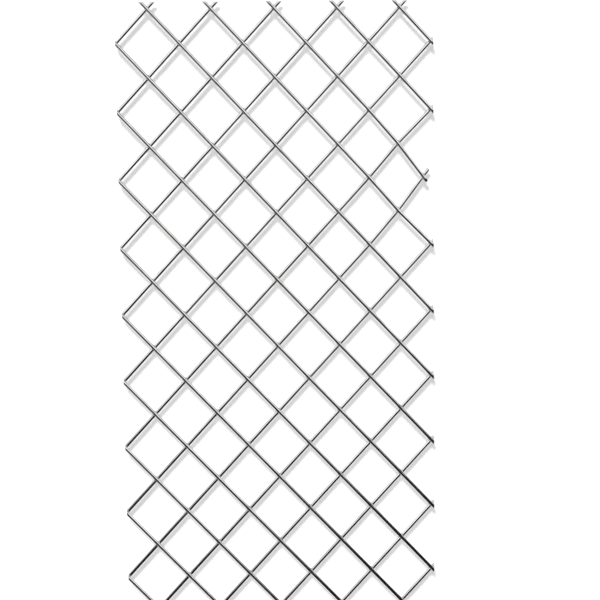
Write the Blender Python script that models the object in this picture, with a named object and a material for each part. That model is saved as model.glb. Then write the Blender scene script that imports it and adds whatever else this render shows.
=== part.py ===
"""Welded wire mesh panel with a diamond pattern, lying flat.

Two layers of straight wires cross each other in rhombs. The lower wires run from the
lower left to the upper right and the upper wires lie across them, sunk a little into
them by the resistance weld at each crossing. The sheet was cut from wider mesh by
straight shears, and one corner of its right edge is pushed in.

Units are metres, +Z is up, +Y runs along the sheet, and the origin is at the middle
of the underside.
"""

import math

import bmesh
import bpy
from mathutils import Vector

# Wire and weld
WIRE_DIAMETER = 0.0045
WELD_SET_DOWN = 0.0006

# Pattern
CROSSING_SPACING = 0.050
CROSSING_ANGLE = math.radians(85.7)
CELLS_ACROSS = 5
ROW_STEPS = 27

# Cut edges, measured from the outer crossings; the left shear goes through the welds
END_OVERHANG = 0.0074
LEFT_OVERHANG = 0.0004
RIGHT_OVERHANG = 0.0027

# Corner of the right edge that is pushed in towards the sheet
DENT_ROW = 5
DENT_DEPTH = 0.0087
DENT_REACH = 0.072
DENT_UPPER_STUB = 0.0072
DENT_LOWER_STUB = 0.0115

# Facets of a wire; two of them lie level
WIRE_SIDES = 8

PANEL_NAME = "wire_mesh_panel"
STEEL_COLOR = (0.62, 0.62, 0.61, 1.0)
STEEL_ROUGHNESS = 0.28

# Sizes that follow from the ones above
HALF_ANGLE = CROSSING_ANGLE / 2
CELL_WIDTH = 2 * CROSSING_SPACING * math.sin(HALF_ANGLE)
ROW_SPACING = CROSSING_SPACING * math.cos(HALF_ANGLE)
PATTERN_WIDTH = CELLS_ACROSS * CELL_WIDTH
PATTERN_LENGTH = ROW_STEPS * ROW_SPACING
PANEL_WIDTH = LEFT_OVERHANG + PATTERN_WIDTH + RIGHT_OVERHANG
PANEL_LENGTH = PATTERN_LENGTH + 2 * END_OVERHANG
LOWER_HEIGHT = WIRE_DIAMETER / 2
UPPER_HEIGHT = LOWER_HEIGHT + WIRE_DIAMETER - WELD_SET_DOWN
STRAIGHTNESS = 1e-7


def clear_scene():
    """Remove every object of the open file."""
    for old in list(bpy.data.objects):
        bpy.data.objects.remove(old, do_unlink=True)


def new_collection(name):
    """Return a new collection linked to the scene."""
    collection = bpy.data.collections.new(name)
    bpy.context.scene.collection.children.link(collection)
    return collection


def steel_material():
    """Return the bright drawn steel of the wires."""
    material = bpy.data.materials.new("bright_wire_steel")
    material.use_nodes = True
    shader = material.node_tree.nodes["Principled BSDF"]
    shader.inputs["Base Color"].default_value = STEEL_COLOR
    shader.inputs["Metallic"].default_value = 1.0
    shader.inputs["Roughness"].default_value = STEEL_ROUGHNESS
    return material


def lattice_point(row, column):
    """Return the flat place of a crossing; even rows have crossings at half columns."""
    across = LEFT_OVERHANG + column * CELL_WIDTH - PANEL_WIDTH / 2
    along = PATTERN_LENGTH / 2 - row * ROW_SPACING
    return Vector((across, along))


def crossing_point(row, column):
    """Return the place of a crossing with the pushed-in corner applied."""
    point = lattice_point(row, column)
    distance = (point - lattice_point(DENT_ROW, CELLS_ACROSS)).length
    if distance < DENT_REACH:
        falloff = (1 - (distance / DENT_REACH) ** 2) ** 2
        point.x -= DENT_DEPTH * falloff
    return point


def wire_crossings(line, slope):
    """List the (row, column) crossings of one wire, from the left edge to the right.

    The slope is +1 for a lower wire, which climbs to the right, and -1 for an upper
    wire. A wire keeps the value line = row + slope * 2 * column.
    """
    crossings = []
    for half_column in range(2 * CELLS_ACROSS + 1):
        row = line - slope * half_column
        if 0 <= row <= ROW_STEPS:
            crossings.append((row, half_column / 2))
    return crossings


def wire_lines(slope):
    """List the line values of all wires of one layer."""
    shift = slope * 2 * CELLS_ACROSS
    first = min(0, shift) + 1
    last = ROW_STEPS + max(0, shift)
    return range(first, last + 1, 2)


def drop_straight_points(points):
    """Return the points of a path without those on a straight run between neighbours."""
    kept = [points[0]]
    for point, following in zip(points[1:-1], points[2:]):
        before = (point - kept[-1]).normalized()
        after = (following - point).normalized()
        if abs(before.x * after.y - before.y * after.x) > STRAIGHTNESS:
            kept.append(point)
    kept.append(points[-1])
    return kept


def stub_length(crossing, slope):
    """Return how far a wire runs on past its last crossing.

    A whole cell side takes it past the shear line, where the cut shortens it. The two
    wires of the pushed-in corner end on their own, inside that line.
    """
    if crossing != (DENT_ROW, CELLS_ACROSS):
        return CROSSING_SPACING
    return DENT_LOWER_STUB if slope > 0 else DENT_UPPER_STUB


def wire_path(line, slope):
    """Return the flat centre line of one wire, with its stubs at both ends."""
    crossings = wire_crossings(line, slope)
    points = [crossing_point(row, column) for row, column in crossings]
    heading = Vector((math.sin(HALF_ANGLE), slope * math.cos(HALF_ANGLE)))
    left_way = (points[0] - points[1]).normalized() if len(points) > 1 else -heading
    right_way = (points[-1] - points[-2]).normalized() if len(points) > 1 else heading
    left_end = points[0] + left_way * stub_length(crossings[0], slope)
    right_end = points[-1] + right_way * stub_length(crossings[-1], slope)
    return drop_straight_points([left_end, *points, right_end])


def wire_curve(name, path, height):
    """Return a curve object that sweeps the wire's section along a level path."""
    curve = bpy.data.curves.new(name, "CURVE")
    curve.dimensions = "3D"
    curve.twist_mode = "Z_UP"
    curve.bevel_depth = WIRE_DIAMETER / 2 / math.cos(math.pi / WIRE_SIDES)
    curve.bevel_resolution = WIRE_SIDES // 2 - 2
    curve.use_fill_caps = True
    spline = curve.splines.new("POLY")
    spline.points.add(len(path) - 1)
    for spline_point, place in zip(spline.points, path):
        spline_point.co = (place.x, place.y, height, 1.0)
        spline_point.tilt = math.pi / WIRE_SIDES
    wire = bpy.data.objects.new(name, curve)
    bpy.context.scene.collection.objects.link(wire)
    return wire


def wire_layer(name, slope, height, collection):
    """Return one mesh object with all the wires of a layer as closed tubes."""
    layer = bmesh.new()
    for line in wire_lines(slope):
        wire = wire_curve(f"{name}_{line}", wire_path(line, slope), height)
        graph = bpy.context.evaluated_depsgraph_get()
        tube = bpy.data.meshes.new_from_object(wire.evaluated_get(graph))
        layer.from_mesh(tube)
        bpy.data.objects.remove(wire, do_unlink=True)
        bpy.data.meshes.remove(tube)
    bmesh.ops.remove_doubles(layer, verts=layer.verts, dist=WIRE_DIAMETER / 1000)
    mesh = bpy.data.meshes.new(name)
    layer.to_mesh(mesh)
    layer.free()
    result = bpy.data.objects.new(name, mesh)
    collection.objects.link(result)
    return result


def sheared_blank(collection):
    """Return the block whose sides are the shear cuts round the sheet."""
    block = bmesh.new()
    bmesh.ops.create_cube(block, size=1.0)
    size = Vector((PANEL_WIDTH, PANEL_LENGTH, 4 * UPPER_HEIGHT))
    bmesh.ops.scale(block, vec=size, verts=block.verts)
    mesh = bpy.data.meshes.new("sheared_blank")
    block.to_mesh(mesh)
    block.free()
    result = bpy.data.objects.new("sheared_blank", mesh)
    collection.objects.link(result)
    return result


def mark_as_cutter(cutter):
    """Show a cutter as a wire frame only."""
    cutter.hide_render = True
    cutter.display_type = "WIRE"


def add_boolean(target, operation, operand):
    """Join or cut the target with another object."""
    modifier = target.modifiers.new(f"{operation.lower()}_{operand.name}", "BOOLEAN")
    modifier.operation = operation
    modifier.solver = "EXACT"
    modifier.object = operand
    mark_as_cutter(operand)


def build_panel():
    """Build the welded sheet as one object in its own collection."""
    panel_collection = new_collection("welded_wire_mesh_panel")
    cutter_collection = new_collection("cutters")
    panel = wire_layer(PANEL_NAME, 1, LOWER_HEIGHT, panel_collection)
    upper = wire_layer("upper_wires", -1, UPPER_HEIGHT, cutter_collection)
    blank = sheared_blank(cutter_collection)
    add_boolean(panel, "UNION", upper)
    add_boolean(panel, "INTERSECT", blank)
    panel.data.materials.append(steel_material())
    return panel


clear_scene()
build_panel()
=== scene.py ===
"""Portrait of a welded wire mesh panel that lies flat above a pale floor.

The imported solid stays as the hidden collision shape. Its two layers of round wires, the
weld beads between them and the sheared wire ends are modelled here at the same places,
and take a bright drawn steel finish. Lengths are metres, +Z is up and +Y runs along
the sheet.
"""

import logging
import math
import random
from dataclasses import dataclass
from enum import Enum
from typing import Callable, Iterable

import bmesh
import bpy
from mathutils import Matrix, Vector

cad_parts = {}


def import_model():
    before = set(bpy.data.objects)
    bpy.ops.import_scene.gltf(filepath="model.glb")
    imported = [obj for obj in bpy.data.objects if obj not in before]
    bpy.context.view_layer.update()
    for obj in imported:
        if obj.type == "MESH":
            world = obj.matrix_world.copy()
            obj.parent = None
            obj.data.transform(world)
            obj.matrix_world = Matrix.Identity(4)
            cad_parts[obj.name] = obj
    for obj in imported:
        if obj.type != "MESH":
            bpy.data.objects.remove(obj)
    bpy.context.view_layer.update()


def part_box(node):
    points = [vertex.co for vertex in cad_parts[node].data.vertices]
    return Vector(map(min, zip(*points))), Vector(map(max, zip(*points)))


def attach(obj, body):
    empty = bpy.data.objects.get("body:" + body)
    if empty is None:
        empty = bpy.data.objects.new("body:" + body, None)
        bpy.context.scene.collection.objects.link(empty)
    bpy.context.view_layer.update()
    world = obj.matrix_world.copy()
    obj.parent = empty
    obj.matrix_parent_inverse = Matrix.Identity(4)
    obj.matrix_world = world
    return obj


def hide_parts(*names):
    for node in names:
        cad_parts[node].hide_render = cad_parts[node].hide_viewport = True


LOG = logging.getLogger("wire_mesh_panel")

CAD_NODE = "wire_mesh_panel"
BODY = "root"
RUN_ATTRIBUTE = "wire_run"

RIGHT = Vector((1.0, 0.0, 0.0))
UP_THE_SHEET = Vector((0.0, 1.0, 0.0))
UPWARDS = Vector((0.0, 0.0, 1.0))

Color = tuple[float, float, float, float]
Weld = tuple[int, float]


def grey(level: float, warmth: float = 0.0) -> Color:
    """Return an opaque grey whose red and blue lean apart by the warmth."""
    return (level * (1 + warmth), level, level * (1 - warmth), 1.0)


class Layer(Enum):
    """The two layers of wires; the value is the sign of a wire's climb to the right."""

    LOWER = 1
    UPPER = -1


@dataclass(frozen=True)
class PushedCorner:
    """The corner of the right edge that a knock has pushed in towards the sheet.

    The wires lean over from weld to weld, and the push fades out with the distance.
    """

    row: int = 5
    depth: float = 0.0087
    reach: float = 0.072
    stubs: tuple[tuple[Layer, float], ...] = ((Layer.UPPER, 0.0072), (Layer.LOWER, 0.0115))

    def push(self, distance: float) -> float:
        """Return how far a weld has moved to the left.

        Args:
            distance: How far the weld was from the corner's own weld.

        Returns:
            The full depth at the corner, fading to 0 at the reach.
        """
        if distance >= self.reach:
            return 0.0
        return self.depth * (1 - (distance / self.reach) ** 2) ** 2


@dataclass(frozen=True)
class MeshPattern:
    """Sizes and places of the sheet's wires and welds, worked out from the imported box."""

    low: Vector
    high: Vector
    cells_across: int = 5
    row_steps: int = 27
    left_overhang: float = 0.0004
    right_overhang: float = 0.0027
    end_overhang: float = 0.0074
    weld_set_down: float = 0.0006
    spare: float = 0.024
    corner: PushedCorner = PushedCorner()

    @property
    def cell_width(self) -> float:
        """Return the width of a diamond across the sheet."""
        overhangs = self.left_overhang + self.right_overhang
        return (self.high.x - self.low.x - overhangs) / self.cells_across

    @property
    def row_spacing(self) -> float:
        """Return the distance along the sheet from one row of welds to the next."""
        return (self.high.y - self.low.y - 2 * self.end_overhang) / self.row_steps

    @property
    def weld_spacing(self) -> float:
        """Return the distance between neighbouring welds of one wire."""
        return math.hypot(self.cell_width / 2, self.row_spacing)

    @property
    def most_welds(self) -> int:
        """Return the number of welds on a wire that crosses the whole sheet."""
        return 2 * self.cells_across + 1

    @property
    def heading(self) -> float:
        """Return the angle at which the lower wires climb to the right."""
        return math.atan2(self.row_spacing, self.cell_width / 2)

    @property
    def diameter(self) -> float:
        """Return the wire's diameter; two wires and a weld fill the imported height."""
        return (self.high.z - self.low.z + self.weld_set_down) / 2

    @property
    def seam_height(self) -> float:
        """Return the height at which the two layers of wires are fused."""
        return (self.high.z + self.low.z) / 2

    def axis_height(self, layer: Layer) -> float:
        """Return the height of the centre line of the wires of a layer.

        Args:
            layer: The layer that the wires lie in.

        Returns:
            The height above the sheet's underside.
        """
        if layer is Layer.LOWER:
            return self.low.z + self.diameter / 2
        return self.high.z - self.diameter / 2

    def place_of(self, weld: Weld) -> Vector:
        """Return the flat place of a weld before the corner was pushed in.

        Args:
            weld: The row and column of the weld.

        Returns:
            The place at height 0.
        """
        row, column = weld
        across = self.low.x + self.left_overhang + column * self.cell_width
        along = self.high.y - self.end_overhang - row * self.row_spacing
        return Vector((across, along, 0.0))

    def pushed_by(self, weld: Weld) -> float:
        """Return how far the pushed-in corner has moved a weld to the left."""
        corner = self.place_of((self.corner.row, self.cells_across))
        return self.corner.push((self.place_of(weld) - corner).length)

    def welds_on(self, line: int, layer: Layer) -> list[Weld]:
        """List the welds of one wire, from the left edge on.

        Args:
            line: The value row + slope * 2 * column, which all welds of a wire share.
            layer: The layer that the wire lies in.

        Returns:
            The (row, column) pairs; odd rows have whole columns and even rows halves.
        """
        places = []
        for half_column in range(self.most_welds):
            row = line - layer.value * half_column
            if 0 <= row <= self.row_steps:
                places.append((row, half_column / 2))
        return places

    def lines(self, layer: Layer) -> range:
        """Return the line values of all wires of a layer."""
        shift = layer.value * 2 * self.cells_across
        return range(min(0, shift) + 1, self.row_steps + max(0, shift) + 1, 2)

    def all_welds(self) -> list[Weld]:
        """List every weld of the sheet, lower wire by lower wire."""
        lines = self.lines(Layer.LOWER)
        return [weld for line in lines for weld in self.welds_on(line, Layer.LOWER)]

    def stub(self, weld: Weld, layer: Layer) -> float:
        """Return how far a wire runs on past its last weld before the sheet is sheared.

        Args:
            weld: The row and column of the wire's last weld.
            layer: The layer that the wire lies in.

        Returns:
            The wire's own stub at the pushed-in corner, and elsewhere the spare length
            that the shear cuts off.
        """
        if weld != (self.corner.row, self.cells_across):
            return self.spare
        return dict(self.corner.stubs)[layer]


def deselect_all() -> None:
    """Leave edit mode and deselect every object."""
    if bpy.context.mode != "OBJECT":
        bpy.ops.object.mode_set(mode="OBJECT")
    bpy.ops.object.select_all(action="DESELECT")


def pick(piece: bpy.types.Object) -> None:
    """Make a piece the only selected object and the active one.

    Args:
        piece: The object to pick.
    """
    deselect_all()
    piece.select_set(True)
    bpy.context.view_layer.objects.active = piece


def open_mesh(piece: bpy.types.Object, kind: str = "VERT") -> None:
    """Enter edit mode on a piece.

    Args:
        piece: The object whose mesh is opened.
        kind: The kind of element to select, as "VERT" or "FACE".
    """
    pick(piece)
    bpy.ops.object.mode_set(mode="EDIT")
    bpy.ops.mesh.select_mode(type=kind)


def close_mesh() -> None:
    """Go back from edit mode to object mode."""
    bpy.ops.object.mode_set(mode="OBJECT")


def select_vertices(piece: bpy.types.Object, test: Callable[[Vector], bool]) -> int:
    """Select the vertices of an open mesh whose place passes a test.

    Args:
        piece: The object that is in edit mode.
        test: A function of a vertex's place.

    Returns:
        The number of selected vertices.
    """
    cage = bmesh.from_edit_mesh(piece.data)
    for vertex in cage.verts:
        vertex.select = test(vertex.co)
    cage.select_flush_mode()
    bmesh.update_edit_mesh(piece.data)
    return sum(vertex.select for vertex in cage.verts)


def select_faces(piece: bpy.types.Object, test: Callable[[bmesh.types.BMFace], bool]) -> None:
    """Select the faces of an open mesh that pass a test.

    Args:
        piece: The object that is in edit mode.
        test: A function of a face.
    """
    cage = bmesh.from_edit_mesh(piece.data)
    for face in cage.faces:
        face.select = test(face)
    cage.select_flush_mode()
    bmesh.update_edit_mesh(piece.data)


def bake_place(piece: bpy.types.Object) -> None:
    """Apply a piece's place, turn and scale to its mesh."""
    pick(piece)
    bpy.ops.object.transform_apply(location=True, rotation=True, scale=True)


def placed_copy(piece: bpy.types.Object, name: str, place: Matrix) -> bpy.types.Object:
    """Return a copy of a piece with its own mesh.

    Args:
        piece: The object to copy.
        name: The name of the copy.
        place: The matrix by which the copy's mesh is moved.

    Returns:
        The copy, linked to the scene.
    """
    copy = piece.copy()
    copy.name = name
    copy.data = piece.data.copy()
    copy.data.transform(place)
    bpy.context.scene.collection.objects.link(copy)
    return copy


def cut_off(piece: bpy.types.Object, place: Vector, outwards: Vector) -> None:
    """Cut a piece off along a plane and close the cut with flat faces.

    Args:
        piece: The object to cut.
        place: A point on the plane.
        outwards: The normal of the plane; what lies on its side is removed.
    """
    open_mesh(piece)
    bpy.ops.mesh.select_all(action="SELECT")
    bpy.ops.mesh.bisect(plane_co=place, plane_no=outwards, use_fill=True, clear_outer=True)
    close_mesh()


def join(pieces: list[bpy.types.Object], name: str) -> bpy.types.Object:
    """Join pieces into one object.

    Args:
        pieces: The objects to join.
        name: The name of the joined object and of its mesh.

    Returns:
        The joined object.
    """
    deselect_all()
    for piece in pieces:
        piece.select_set(True)
    bpy.context.view_layer.objects.active = pieces[0]
    bpy.ops.object.join()
    whole = bpy.context.view_layer.objects.active
    whole.name = name
    whole.data.name = name
    return whole


def smooth_shade(piece: bpy.types.Object, sharp_from: float) -> None:
    """Shade a piece smooth apart from edges over an angle in radians."""
    pick(piece)
    bpy.ops.object.shade_smooth_by_angle(angle=sharp_from)


def shear(piece: bpy.types.Object, pattern: MeshPattern, margin: float) -> None:
    """Cut a piece along the four sides of the sheet.

    Args:
        piece: The object to cut.
        pattern: The pattern whose box has the shear lines as its sides.
        margin: How far inside the shear lines the cuts lie.
    """
    for outwards in (RIGHT, -RIGHT, UP_THE_SHEET, -UP_THE_SHEET):
        corner = pattern.high if outwards.x + outwards.y > 0 else pattern.low
        cut_off(piece, corner - outwards * margin, outwards)


@dataclass(frozen=True)
class RolledEdge:
    """The rounded edge that a shear leaves round a cut wire end.

    Each step has the width by which it narrows the end and the depth by which it stands
    out. A side face of a wire has at most the stated corners, and a cut has more.
    """

    steps: tuple[tuple[float, float], ...] = (
        (0.00022, 0.00034),
        (0.00034, 0.00022),
        (0.00050, 0.00008),
    )
    most_side_corners: int = 8

    @property
    def depth(self) -> float:
        """Return how far the middle of a cut end stands out from the edge of the cut."""
        return sum(depth for _, depth in self.steps)

    def roll(self, piece: bpy.types.Object) -> None:
        """Round every cut end of a piece.

        Args:
            piece: An object made of wires that end in flat cuts.
        """
        open_mesh(piece, "FACE")
        select_faces(piece, lambda face: len(face.verts) > self.most_side_corners)
        for width, depth in self.steps:
            bpy.ops.mesh.inset(thickness=width, depth=depth, use_individual=True)
        close_mesh()


@dataclass(frozen=True)
class WireStock:
    """A straight length of wire along X, modelled once and copied for every wire.

    Rings of vertices stand at each weld, where the welding electrode has pressed a
    small flat into the top of the wire. The first weld is at the origin.
    """

    pattern: MeshPattern
    facets: int = 16
    flat_length: float = 0.0044
    flat_depth: float = 0.00008
    flat_width_share: float = 0.80
    ring_places: tuple[float, ...] = (-0.0070, -0.0030, 0.0, 0.0030, 0.0070)

    def model(self) -> bpy.types.Object:
        """Return the finished stock wire.

        Returns:
            A wire with its marks at as many welds as the longest wire has.
        """
        weld_runs = [weld * self.pattern.weld_spacing for weld in range(self.pattern.most_welds)]
        span = weld_runs[-1]
        deselect_all()
        bpy.ops.mesh.primitive_cylinder_add(
            vertices=self.facets,
            radius=self.pattern.diameter / 2,
            depth=span + 2 * self.pattern.spare,
            end_fill_type="NGON",
            location=(span / 2, 0.0, 0.0),
            rotation=(0.0, math.pi / 2, 0.0),
        )
        wire = bpy.context.active_object
        wire.name = "wire_stock"
        bake_place(wire)
        for weld_run in weld_runs:
            self.add_rings(wire, weld_run)
        for weld_run in weld_runs:
            self.press_flat(wire, weld_run)
        self.record_run(wire)
        return wire

    def add_rings(self, wire: bpy.types.Object, weld_run: float) -> None:
        """Cut rings of vertices into the wire round one weld.

        Args:
            wire: The stock wire.
            weld_run: How far along the wire the weld is.
        """
        open_mesh(wire)
        for offset in self.ring_places:
            bpy.ops.mesh.select_all(action="SELECT")
            bpy.ops.mesh.bisect(plane_co=(weld_run + offset, 0.0, 0.0), plane_no=RIGHT)
        close_mesh()

    def press_flat(self, wire: bpy.types.Object, weld_run: float) -> None:
        """Press the mark of the electrode into the top of the wire at one weld.

        Args:
            wire: The stock wire.
            weld_run: How far along the wire the weld is.
        """
        least_height = self.flat_width_share * self.pattern.diameter / 2
        open_mesh(wire)
        picked = select_vertices(
            wire,
            lambda place: abs(place.x - weld_run) < self.flat_length / 2 and place.z > least_height,
        )
        if picked:
            bpy.ops.transform.translate(value=(0.0, 0.0, -self.flat_depth))
        close_mesh()

    def record_run(self, wire: bpy.types.Object) -> None:
        """Store on the vertices how far along the wire they are, for the finish."""
        run = wire.data.attributes.new(RUN_ATTRIBUTE, "FLOAT", "POINT")
        run.data.foreach_set("value", [vertex.co.x for vertex in wire.data.vertices])


@dataclass(frozen=True)
class WireSheetLayer:
    """All wires of one layer, cut to length, bent at the corner and sheared."""

    pattern: MeshPattern
    layer: Layer
    edge: RolledEdge = RolledEdge()
    sharp_from: float = math.radians(55)
    run_digits: int = 6
    ring_tolerance: float = 1e-5

    def build(self, stock: bpy.types.Object) -> bpy.types.Object:
        """Return the layer as one piece.

        Args:
            stock: The straight stock wire to copy.

        Returns:
            The joined wires of the layer, with their sheared ends finished.
        """
        wires = [self.cut_wire(stock, line) for line in self.pattern.lines(self.layer)]
        sheet = join(wires, f"{self.layer.name.lower()}_wires")
        shear(sheet, self.pattern, self.edge.depth)
        self.edge.roll(sheet)
        smooth_shade(sheet, self.sharp_from)
        return sheet

    def cut_wire(self, stock: bpy.types.Object, line: int) -> bpy.types.Object:
        """Return one wire of the layer, cut to its stub and laid in its place.

        Args:
            stock: The straight stock wire to copy.
            line: The value that all welds of the wire share.

        Returns:
            The wire, bent where the pushed-in corner has moved its welds.
        """
        welds = self.pattern.welds_on(line, self.layer)
        span = (len(welds) - 1) * self.pattern.weld_spacing
        face_down = math.pi if self.layer is Layer.LOWER else 0.0
        wire = placed_copy(stock, f"wire_{line}", Matrix.Rotation(face_down, 4, "X"))
        end = span + self.pattern.stub(welds[-1], self.layer) - self.edge.depth
        cut_off(wire, RIGHT * end, RIGHT)
        start = self.pattern.place_of(welds[0])
        start.z = self.pattern.axis_height(self.layer)
        heading = self.layer.value * self.pattern.heading
        turned = Matrix.Translation(start) @ Matrix.Rotation(heading, 4, "Z")
        wire.data.transform(turned)
        pushes = [self.pattern.pushed_by(weld) for weld in welds]
        if any(pushes):
            self.bend(wire, turned.inverted(), pushes)
        return wire

    def bend(self, wire: bpy.types.Object, to_stock: Matrix, pushes: list[float]) -> None:
        """Lean a wire over from weld to weld, ring by ring.

        Args:
            wire: The wire, already in its place.
            to_stock: The matrix from the sheet back to the stock wire's frame.
            pushes: How far each weld of the wire has moved to the left.
        """
        all_runs = [(to_stock @ vertex.co).x for vertex in wire.data.vertices]
        rings = sorted({round(run, self.run_digits) for run in all_runs})
        open_mesh(wire)
        for ring in rings:
            push = self.push_at(ring, pushes)
            if push == 0.0:
                continue
            select_vertices(
                wire,
                lambda place: abs((to_stock @ place).x - ring) < self.ring_tolerance,
            )
            bpy.ops.transform.translate(value=(-push, 0.0, 0.0))
        close_mesh()

    def push_at(self, run: float, pushes: list[float]) -> float:
        """Return the push at a run along a wire, straight between and past its welds.

        Args:
            run: The distance along the wire from its first weld.
            pushes: How far each weld of the wire has moved to the left.

        Returns:
            How far the wire has moved to the left there.
        """
        if len(pushes) == 1:
            return pushes[0]
        place = run / self.pattern.weld_spacing
        first = min(max(int(place), 0), len(pushes) - 2)
        share = place - first
        if first == 0 and share < 0 and pushes[0] == 0.0:
            return 0.0
        return max(0.0, pushes[first] * (1 - share) + pushes[first + 1] * share)


@dataclass(frozen=True)
class WeldBeads:
    """The metal squeezed out between the wires at every weld."""

    pattern: MeshPattern
    edge: RolledEdge = RolledEdge()
    segments: int = 12
    rings: int = 6
    half_thickness: float = 0.00115
    radius_share: float = 0.46
    lobes: int = 4
    lobe_growth: float = 1.22
    lobe_angle: float = math.radians(20)
    size_spread: float = 0.10
    sharp_from: float = math.radians(60)
    seed: int = 7

    def build(self) -> bpy.types.Object:
        """Return all beads of the sheet as one piece.

        Returns:
            The joined beads, cut off where the shear went through a weld.
        """
        chance = random.Random(self.seed)
        bead = self.model_bead()
        beads = [self.lay_bead(bead, weld, chance) for weld in self.pattern.all_welds()]
        bpy.data.objects.remove(bead, do_unlink=True)
        piece = join(beads, "weld_beads")
        shear(piece, self.pattern, self.edge.depth)
        smooth_shade(piece, self.sharp_from)
        return piece

    def model_bead(self) -> bpy.types.Object:
        """Return one bead: a flat lens with lobes that swell out between the wires.

        Returns:
            The bead, with its middle at the origin.
        """
        radius = self.radius_share * self.pattern.diameter
        deselect_all()
        bpy.ops.mesh.primitive_uv_sphere_add(
            segments=self.segments,
            ring_count=self.rings,
            radius=radius,
        )
        bead = bpy.context.active_object
        bead.name = "weld_bead"
        bead.scale = (1.0, 1.0, self.half_thickness / radius)
        bake_place(bead)
        least = math.cos(self.lobe_angle)
        open_mesh(bead)
        for lobe in range(self.lobes):
            angle = lobe * 2 * math.pi / self.lobes
            way = Vector((math.cos(angle), math.sin(angle), 0.0))
            select_vertices(
                bead,
                lambda place: place.xy.length > 0 and place.normalized() @ way > least,
            )
            bpy.ops.transform.resize(
                value=(self.lobe_growth, self.lobe_growth, 1.0),
                center_override=(0.0, 0.0, 0.0),
            )
        close_mesh()
        return bead

    def lay_bead(
        self, bead: bpy.types.Object, weld: Weld, chance: random.Random
    ) -> bpy.types.Object:
        """Return a copy of the bead at one weld, a little larger or smaller.

        Args:
            bead: The bead to copy.
            weld: The row and column of the weld.
            chance: The source of the random sizes.

        Returns:
            The copy in its place.
        """
        place = self.pattern.place_of(weld)
        place.x -= self.pattern.pushed_by(weld)
        place.z = self.pattern.seam_height
        stretch = [1 + chance.uniform(-self.size_spread, self.size_spread) for _ in range(2)]
        grown = Matrix.Diagonal((stretch[0], stretch[1], 1.0, 1.0))
        return placed_copy(bead, "weld_bead", Matrix.Translation(place) @ grown)


class Signal:
    """A value in a node tree that Python's arithmetic turns into Math nodes."""

    def __init__(self, bench: "NodeBench", socket: bpy.types.NodeSocket) -> None:
        """Keep the bench that makes the nodes and the socket that gives the value."""
        self.bench = bench
        self.socket = socket

    def __add__(self, other: "Signal | float") -> "Signal":
        """Return the sum."""
        return self.bench.math("ADD", self, other)

    def __radd__(self, other: float) -> "Signal":
        """Return the sum with a number on the left."""
        return self.bench.math("ADD", other, self)

    def __sub__(self, other: "Signal | float") -> "Signal":
        """Return the difference."""
        return self.bench.math("SUBTRACT", self, other)

    def __rsub__(self, other: float) -> "Signal":
        """Return the difference with a number on the left."""
        return self.bench.math("SUBTRACT", other, self)

    def __mul__(self, other: "Signal | float") -> "Signal":
        """Return the product."""
        return self.bench.math("MULTIPLY", self, other)

    def __rmul__(self, other: float) -> "Signal":
        """Return the product with a number on the left."""
        return self.bench.math("MULTIPLY", other, self)

    def __truediv__(self, other: "Signal | float") -> "Signal":
        """Return the quotient."""
        return self.bench.math("DIVIDE", self, other)


@dataclass(frozen=True)
class Grain:
    """The scale of a noise and how many octaves of detail it has."""

    scale: float
    detail: float


@dataclass(frozen=True)
class Relief:
    """How strongly and how deeply a height is pressed into a surface."""

    strength: float
    depth: float


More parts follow.
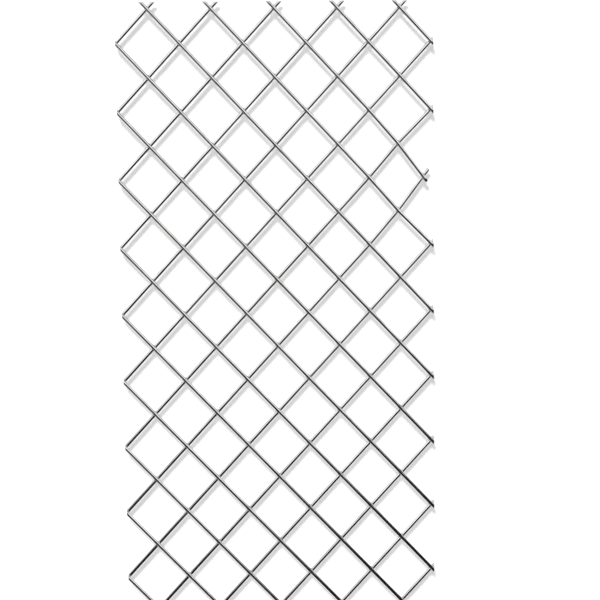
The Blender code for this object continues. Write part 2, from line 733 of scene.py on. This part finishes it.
class NodeBench:
    """A workbench for one node tree.

    The constants are the places of the colours among a Mix node's sockets.
    """

    FIRST_COLOR: int = 6
    SECOND_COLOR: int = 7
    MIXED_COLOR: int = 2

    def __init__(self, tree: bpy.types.NodeTree) -> None:
        """Take over a tree and clear it."""
        self.tree = tree
        self.tree.nodes.clear()

    def add(
        self,
        kind: str,
        settings: dict[str, object] | None = None,
        sockets: dict[str | int, object] | None = None,
    ) -> bpy.types.Node:
        """Make one node, set it up and fill its sockets.

        Args:
            kind: The type of the node, as in "ShaderNodeMath".
            settings: Properties of the node, as in a Math node's operation.
            sockets: A value, a Signal or an output socket for each named input.

        Returns:
            The new node.
        """
        node = self.tree.nodes.new(kind)
        for name, value in (settings or {}).items():
            setattr(node, name, value)
        for name, value in (sockets or {}).items():
            self.feed(node.inputs[name], value)
        return node

    def feed(self, target: bpy.types.NodeSocket, value: object) -> None:
        """Link a signal or a socket to an input, or set the input's own value.

        Args:
            target: The input.
            value: A Signal, an output socket or a plain value.
        """
        if isinstance(value, Signal):
            self.tree.links.new(value.socket, target)
        elif isinstance(value, bpy.types.NodeSocket):
            self.tree.links.new(value, target)
        else:
            target.default_value = value

    def math(self, operation: str, *values: "Signal | float") -> Signal:
        """Return the result of a Math node on up to three values."""
        node = self.add("ShaderNodeMath", {"operation": operation}, dict(enumerate(values)))
        return self.signal(node)

    def signal(self, node: bpy.types.Node, output: str | int = 0) -> Signal:
        """Return an output of a node as a signal."""
        return Signal(self, node.outputs[output])

    def smooth_step(self, value: Signal, start: float, end: float) -> Signal:
        """Return a signal that climbs smoothly from 0 to 1.

        Args:
            value: The signal to follow.
            start: The value up to which the result is 0.
            end: The value from which the result is 1.

        Returns:
            The climbing signal.
        """
        node = self.add(
            "ShaderNodeMapRange",
            {"interpolation_type": "SMOOTHSTEP"},
            {"Value": value, "From Min": start, "From Max": end},
        )
        return self.signal(node)

    def noise(self, place: bpy.types.NodeSocket, grain: Grain) -> Signal:
        """Return a noise over a place vector.

        Args:
            place: The socket that gives the place.
            grain: The scale and detail of the noise.

        Returns:
            The noise, which lies round 0.5.
        """
        sockets = {"Vector": place, "Scale": grain.scale, "Detail": grain.detail}
        node = self.add("ShaderNodeTexNoise", None, sockets)
        return self.signal(node, "Fac")

    def along(self, way: bpy.types.NodeSocket, towards: Vector) -> Signal:
        """Return the cosine of the angle between a ray's way and a direction.

        Args:
            way: The socket that gives the ray's way.
            towards: The direction, one unit long.

        Returns:
            1 where the ray goes in that direction, and -1 where it goes the other way.
        """
        node = self.add(
            "ShaderNodeVectorMath",
            {"operation": "DOT_PRODUCT"},
            {0: way, 1: tuple(towards)},
        )
        return self.signal(node, "Value")

    def mix_color(self, factor: Signal, first: object, second: object) -> bpy.types.NodeSocket:
        """Return the mix of two colours.

        Args:
            factor: The share of the second colour.
            first: The colour, or its socket, where the factor is 0.
            second: The colour, or its socket, where the factor is 1.

        Returns:
            The socket of the mixed colour.
        """
        node = self.add(
            "ShaderNodeMix",
            {"data_type": "RGBA"},
            {0: factor, self.FIRST_COLOR: first, self.SECOND_COLOR: second},
        )
        return node.outputs[self.MIXED_COLOR]

    def metal(
        self,
        color: bpy.types.NodeSocket,
        metallic: float,
        roughness: Signal,
        height: Signal,
        relief: Relief,
    ) -> None:
        """Close the tree with a metal surface that has a fine relief.

        Args:
            color: The socket of the metal's colour.
            metallic: How far the surface is bare metal.
            roughness: The roughness over the surface.
            height: The height of the relief over the surface.
            relief: How the height is pressed in.
        """
        bump = self.add(
            "ShaderNodeBump",
            None,
            {"Strength": relief.strength, "Distance": relief.depth, "Height": height},
        )
        shader = self.add(
            "ShaderNodeBsdfPrincipled",
            None,
            {
                "Base Color": color,
                "Metallic": metallic,
                "Roughness": roughness,
                "Normal": bump.outputs["Normal"],
            },
        )
        self.add("ShaderNodeOutputMaterial", None, {"Surface": shader.outputs["BSDF"]})


def blank_material(name: str) -> tuple[bpy.types.Material, NodeBench]:
    """Return a new material and the bench for its node tree.

    Args:
        name: The name of the material.

    Returns:
        The material, whose tree is still empty, and its bench.
    """
    material = bpy.data.materials.new(name)
    material.use_nodes = True
    return material, NodeBench(material.node_tree)


@dataclass(frozen=True)
class SteelFinish:
    """Bright drawn steel with fine die lines, a mottled skin and dull marks at the welds.

    Wear is a mix of the mottling and the die lines, and bloom is the zinc's fine spots.
    """

    name: str
    heading: float
    weld_spacing: float
    bright: Color = grey(0.78, -0.006)
    dull: Color = grey(0.62, 0.004)
    burnt: Color = grey(0.70, 0.01)
    metallic: float = 1.0
    smooth: float = 0.05
    rough: float = 0.11
    burnt_rough: float = 0.10
    line_stretch: tuple[float, float, float] = (14.0, 1500.0, 1500.0)
    line_grain: Grain = Grain(1.0, 3.0)
    mottle_grain: Grain = Grain(60.0, 4.0)
    mottle_in_wear: float = 0.6
    lines_in_wear: float = 0.4
    wear_from: float = 0.36
    wear_full: float = 0.66
    bloom_grain: Grain = Grain(420.0, 3.0)
    bloom_from: float = 0.52
    bloom_full: float = 0.74
    bloom_cover: float = 0.45
    wear_in_rough: float = 0.7
    bloom_in_rough: float = 0.3
    line_height: float = 0.6
    mottle_height: float = 0.5
    bloom_height: float = 0.3
    relief: Relief = Relief(0.22, 0.00006)
    mark_reach: float = 0.0048
    mark_core_share: float = 0.35
    mark_rim_grain: Grain = Grain(700.0, 2.0)
    mark_raggedness: float = 0.0016

    def material(self) -> bpy.types.Material:
        """Return the material of one layer of wires.

        Returns:
            The finished material.
        """
        material, bench = blank_material(self.name)
        place = bench.add("ShaderNodeTexCoord").outputs["Object"]
        lines = self.die_lines(bench, place)
        mottle = bench.noise(place, self.mottle_grain)
        bloom_noise = bench.noise(place, self.bloom_grain)
        bloom = bench.smooth_step(bloom_noise, self.bloom_from, self.bloom_full)
        mark = self.weld_mark(bench, place)
        worn = mottle * self.mottle_in_wear + lines * self.lines_in_wear
        wear = bench.smooth_step(worn, self.wear_from, self.wear_full)
        skin = bench.mix_color(wear, self.bright, self.dull)
        spotted = bench.mix_color(bloom * self.bloom_cover, skin, self.dull)
        color = bench.mix_color(mark, spotted, self.burnt)
        roughening = wear * self.wear_in_rough + bloom * self.bloom_in_rough
        clean_rough = self.smooth + (self.rough - self.smooth) * roughening
        roughness = clean_rough + (self.burnt_rough - clean_rough) * mark
        height = lines * self.line_height + mottle * self.mottle_height + bloom * self.bloom_height
        bench.metal(color, self.metallic, roughness, height, self.relief)
        return material

    def die_lines(self, bench: NodeBench, place: bpy.types.NodeSocket) -> Signal:
        """Return the fine lines that the drawing die leaves along the wire.

        Args:
            bench: The bench of the material.
            place: The socket that gives the place on the sheet.

        Returns:
            A noise that is drawn out along the wires.
        """
        turned = bench.add(
            "ShaderNodeMapping",
            {"vector_type": "POINT"},
            {"Vector": place, "Rotation": (0.0, 0.0, -self.heading)},
        )
        drawn_out = bench.add(
            "ShaderNodeMapping",
            {"vector_type": "POINT"},
            {"Vector": turned.outputs["Vector"], "Scale": self.line_stretch},
        )
        return bench.noise(drawn_out.outputs["Vector"], self.line_grain)

    def weld_mark(self, bench: NodeBench, place: bpy.types.NodeSocket) -> Signal:
        """Return the mask of the dull heat marks round the welds, with a ragged rim.

        Args:
            bench: The bench of the material.
            place: The socket that gives the place on the sheet.

        Returns:
            1 at a weld, fading to 0 at the reach of its mark.
        """
        run = bench.add("ShaderNodeAttribute", {"attribute_name": RUN_ATTRIBUTE})
        cells = bench.signal(run, "Fac") / self.weld_spacing + 0.5
        away = bench.math("ABSOLUTE", bench.math("FRACT", cells) - 0.5) * self.weld_spacing
        raggedness = (bench.noise(place, self.mark_rim_grain) - 0.5) * self.mark_raggedness
        core = self.mark_reach * self.mark_core_share
        return 1 - bench.smooth_step(away + raggedness, core, self.mark_reach)


@dataclass(frozen=True)
class BeadFinish:
    """The scaly skin of the metal squeezed out at a weld, which is bare in patches."""

    name: str = "weld_bead_steel"
    scale_color: Color = grey(0.50, 0.02)
    bare_color: Color = grey(0.74, 0.0)
    metallic: float = 0.9
    rough: float = 0.13
    bare_roughening: float = 0.1
    patch_grain: Grain = Grain(900.0, 4.0)
    patch_from: float = 0.40
    patch_full: float = 0.62
    relief: Relief = Relief(0.5, 0.0002)

    def material(self) -> bpy.types.Material:
        """Return the material of the beads.

        Returns:
            The finished material.
        """
        material, bench = blank_material(self.name)
        place = bench.add("ShaderNodeTexCoord").outputs["Object"]
        patch_noise = bench.noise(place, self.patch_grain)
        patches = bench.smooth_step(patch_noise, self.patch_from, self.patch_full)
        color = bench.mix_color(patches, self.scale_color, self.bare_color)
        roughness = self.rough + patches * self.bare_roughening
        bench.metal(color, self.metallic, roughness, patches, self.relief)
        return material


@dataclass(frozen=True)
class PaleFloor:
    """The plain white floor that takes the sheet's shadow."""

    gap: float = 0.0055
    width: float = 40.0
    white: Color = grey(0.95)
    own_glow: float = 0.40

    def build(self) -> bpy.types.Object:
        """Return the floor.

        Returns:
            A level plane, a little below the sheet.
        """
        deselect_all()
        bpy.ops.mesh.primitive_plane_add(size=self.width, location=(0.0, 0.0, -self.gap))
        floor = bpy.context.active_object
        floor.name = "pale_floor"
        bake_place(floor)
        floor.data.materials.append(self.material())
        return floor

    def material(self) -> bpy.types.Material:
        """Return a matt white that is lifted to paper white for the camera and for gloss.

        Returns:
            The finished material.
        """
        material, bench = blank_material("pale_floor")
        matt = bench.add("ShaderNodeBsdfDiffuse", None, {"Color": self.white})
        seen = seen_or_mirrored(bench)
        glow = bench.add("ShaderNodeEmission", None, {"Strength": seen * self.own_glow})
        both = bench.add("ShaderNodeAddShader", None, {0: matt.outputs[0], 1: glow.outputs[0]})
        bench.add("ShaderNodeOutputMaterial", None, {"Surface": both.outputs[0]})
        return material


def seen_or_mirrored(bench: NodeBench) -> Signal:
    """Return 1 for rays from the camera, from gloss and through glass, and 0 for others.

    Args:
        bench: The bench of the material.

    Returns:
        The mask of those rays.
    """
    path = bench.add("ShaderNodeLightPath")
    mirrored = bench.math(
        "MAXIMUM",
        bench.signal(path, "Is Glossy Ray"),
        bench.signal(path, "Is Transmission Ray"),
    )
    return bench.math("MAXIMUM", bench.signal(path, "Is Camera Ray"), mirrored)


@dataclass(frozen=True)
class RoundPatch:
    """A round patch of the room with a soft rim, as the gloss sees it."""

    direction: tuple[float, float, float]
    reach: float
    softness: float

    def cover(self, bench: NodeBench, way: bpy.types.NodeSocket) -> Signal:
        """Return the mask of the patch.

        Args:
            bench: The bench of the world.
            way: The socket that gives a ray's way.

        Returns:
            1 inside the patch and 0 outside it.
        """
        outer = math.cos(self.reach + self.softness / 2)
        inner = math.cos(self.reach - self.softness / 2)
        return bench.smooth_step(bench.along(way, self.towards()), outer, inner)

    def inwards(self, bench: NodeBench, way: bpy.types.NodeSocket) -> Signal:
        """Return a signal that climbs from 0 at the rim to 1 in the middle."""
        rim = math.cos(self.reach)
        return (bench.along(way, self.towards()) - rim) / (1 - rim)

    def towards(self) -> Vector:
        """Return the direction of the middle, one unit long."""
        return Vector(self.direction).normalized()


@dataclass(frozen=True)
class StudioLight:
    """A soft key from the far side, and the room that the steel mirrors.

    The room is dark. It has a round softbox on the far side, a black flag low at the
    softbox's right, a dim window on the left and a low dim wall on the near side. Only
    the gloss sees these. Past the floor's far edge the camera sees pale grey, and all
    else gets an even fill. All strengths are on the background's own light grey.
    """

    key_direction: tuple[float, float, float] = (-0.30, 0.85, 1.0)
    key_distance: float = 3.0
    key_spread: float = math.radians(16)
    key_strength: float = 2.7
    fill: float = 0.26
    room_bright: float = 0.015
    box: RoundPatch = RoundPatch((0.03, 0.85, 0.52), math.radians(51), math.radians(6))
    box_rim_bright: float = 2.2
    box_middle_bright: float = 0.85
    box_foot_share: float = 0.12
    box_full_height: float = 0.50
    flag: RoundPatch = RoundPatch((0.64, 0.77, 0.0), math.radians(28), math.radians(3))
    window: RoundPatch = RoundPatch((-0.98, -0.17, 0.10), math.radians(45), math.radians(20))
    window_bright: float = 0.42
    wall_bright: float = 0.24
    wall_full_height: float = 0.08
    wall_top_height: float = 0.36
    wall_full_near: float = 0.30

    def build(self) -> None:
        """Add the key lamp and the world."""
        towards = Vector(self.key_direction).normalized()
        lamp = bpy.data.lights.new("key_light", "SUN")
        lamp.angle = self.key_spread
        lamp.energy = self.key_strength
        key = bpy.data.objects.new("key_light", lamp)
        key.rotation_euler = towards.to_track_quat("Z", "Y").to_euler()
        key.location = towards * self.key_distance
        key.visible_glossy = False
        bpy.context.scene.collection.objects.link(key)
        bpy.context.scene.world = self.tent()

    def tent(self) -> bpy.types.World:
        """Return the world: pale grey for the camera, the room for the gloss, and a fill.

        Returns:
            The finished world.
        """
        world = bpy.data.worlds.new("light_tent")
        world.use_nodes = True
        bench = NodeBench(world.node_tree)
        way = bench.add("ShaderNodeTexCoord").outputs["Generated"]
        path = bench.add("ShaderNodeLightPath")
        gloss = bench.signal(path, "Is Glossy Ray")
        camera = bench.signal(path, "Is Camera Ray")
        others = 1 - bench.math("MAXIMUM", gloss, camera)
        strength = camera + gloss * self.mirrored(bench, way) + others * self.fill
        backdrop = bench.add("ShaderNodeBackground", None, {"Strength": strength})
        bench.add("ShaderNodeOutputWorld", None, {"Surface": backdrop.outputs[0]})
        return world

    def mirrored(self, bench: NodeBench, way: bpy.types.NodeSocket) -> Signal:
        """Return how bright the room is in each direction.

        Args:
            bench: The bench of the world.
            way: The socket that gives a ray's way.

        Returns:
            The room with its softbox, blackened by the flag.
        """
        height = bench.along(way, UPWARDS)
        room = self.dim_room(bench, way, height)
        in_box = self.box.cover(bench, way)
        in_flag = self.flag.cover(bench, way)
        return (room + (self.box_bright(bench, way, height) - room) * in_box) * (1 - in_flag)

    def dim_room(self, bench: NodeBench, way: bpy.types.NodeSocket, height: Signal) -> Signal:
        """Return how bright the room is beside the softbox.

        Args:
            bench: The bench of the world.
            way: The socket that gives a ray's way.
            height: How far up a ray goes, from 0 at the horizon to 1 overhead.

        Returns:
            The dark room with its window and its low wall on the near side.
        """
        in_window = self.window.cover(bench, way)
        unlit = self.room_bright + (self.window_bright - self.room_bright) * in_window
        nearness = bench.along(way, -UP_THE_SHEET)
        in_wall = bench.smooth_step(nearness, -self.wall_full_near, self.wall_full_near)
        under_top = 1 - bench.smooth_step(height, self.wall_full_height, self.wall_top_height)
        return unlit + (self.wall_bright - unlit) * in_wall * under_top

    def box_bright(self, bench: NodeBench, way: bpy.types.NodeSocket, height: Signal) -> Signal:
        """Return how bright the softbox's face is, which is dimmer in the middle and low down.

        Args:
            bench: The bench of the world.
            way: The socket that gives a ray's way.
            height: How far up a ray goes, from 0 at the horizon to 1 overhead.

        Returns:
            The brightness of the face.
        """
        middling = (self.box_middle_bright - self.box_rim_bright) * self.box.inwards(bench, way)
        raised = bench.smooth_step(height, 0.0, self.box_full_height)
        foot = self.box_foot_share + (1 - self.box_foot_share) * raised
        return (self.box_rim_bright + middling) * foot


@dataclass(frozen=True)
class PortraitCamera:
    """A long lens high above the sheet that looks down on its far part.

    The turn is in degrees, and the lens and the sensor are in millimetres.
    """

    place: tuple[float, float, float] = (-0.0959, 0.3821, 1.7375)
    turn: tuple[float, float, float] = (-6.646, -4.023, -0.683)
    lens: float = 95.52
    sensor_width: float = 36.0

    def build(self) -> None:
        """Add the camera and make it the scene's own."""
        data = bpy.data.cameras.new("portrait_camera")
        data.sensor_width = self.sensor_width
        data.lens = self.lens
        camera = bpy.data.objects.new("portrait_camera", data)
        camera.location = self.place
        camera.rotation_euler = [math.radians(angle) for angle in self.turn]
        bpy.context.scene.collection.objects.link(camera)
        bpy.context.scene.camera = camera


def hand_over(piece: bpy.types.Object) -> None:
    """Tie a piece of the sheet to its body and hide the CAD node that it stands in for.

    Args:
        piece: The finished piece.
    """
    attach(piece, BODY)
    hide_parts(CAD_NODE)
    LOG.info("%s: %d faces", piece.name, len(piece.data.polygons))


def dress(piece: bpy.types.Object, material: bpy.types.Material) -> None:
    """Give a piece its only material."""
    piece.data.materials.clear()
    piece.data.materials.append(material)


def main() -> None:
    """Build the sheet, its floor, its light and its camera."""
    logging.basicConfig(level=logging.INFO, format="%(message)s")
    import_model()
    bpy.context.scene.view_settings.view_transform = "Standard"
    PortraitCamera().build()
    pattern = MeshPattern(*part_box(CAD_NODE))
    stock = WireStock(pattern).model()
    for layer in Layer:
        wires = WireSheetLayer(pattern, layer).build(stock)
        heading = layer.value * pattern.heading
        finish = SteelFinish(f"{layer.name.lower()}_wire_steel", heading, pattern.weld_spacing)
        dress(wires, finish.material())
        hand_over(wires)
    bpy.data.objects.remove(stock, do_unlink=True)
    beads = WeldBeads(pattern).build()
    dress(beads, BeadFinish().material())
    hand_over(beads)
    PaleFloor().build()
    StudioLight().build()


if __name__ == "__main__":
    main()
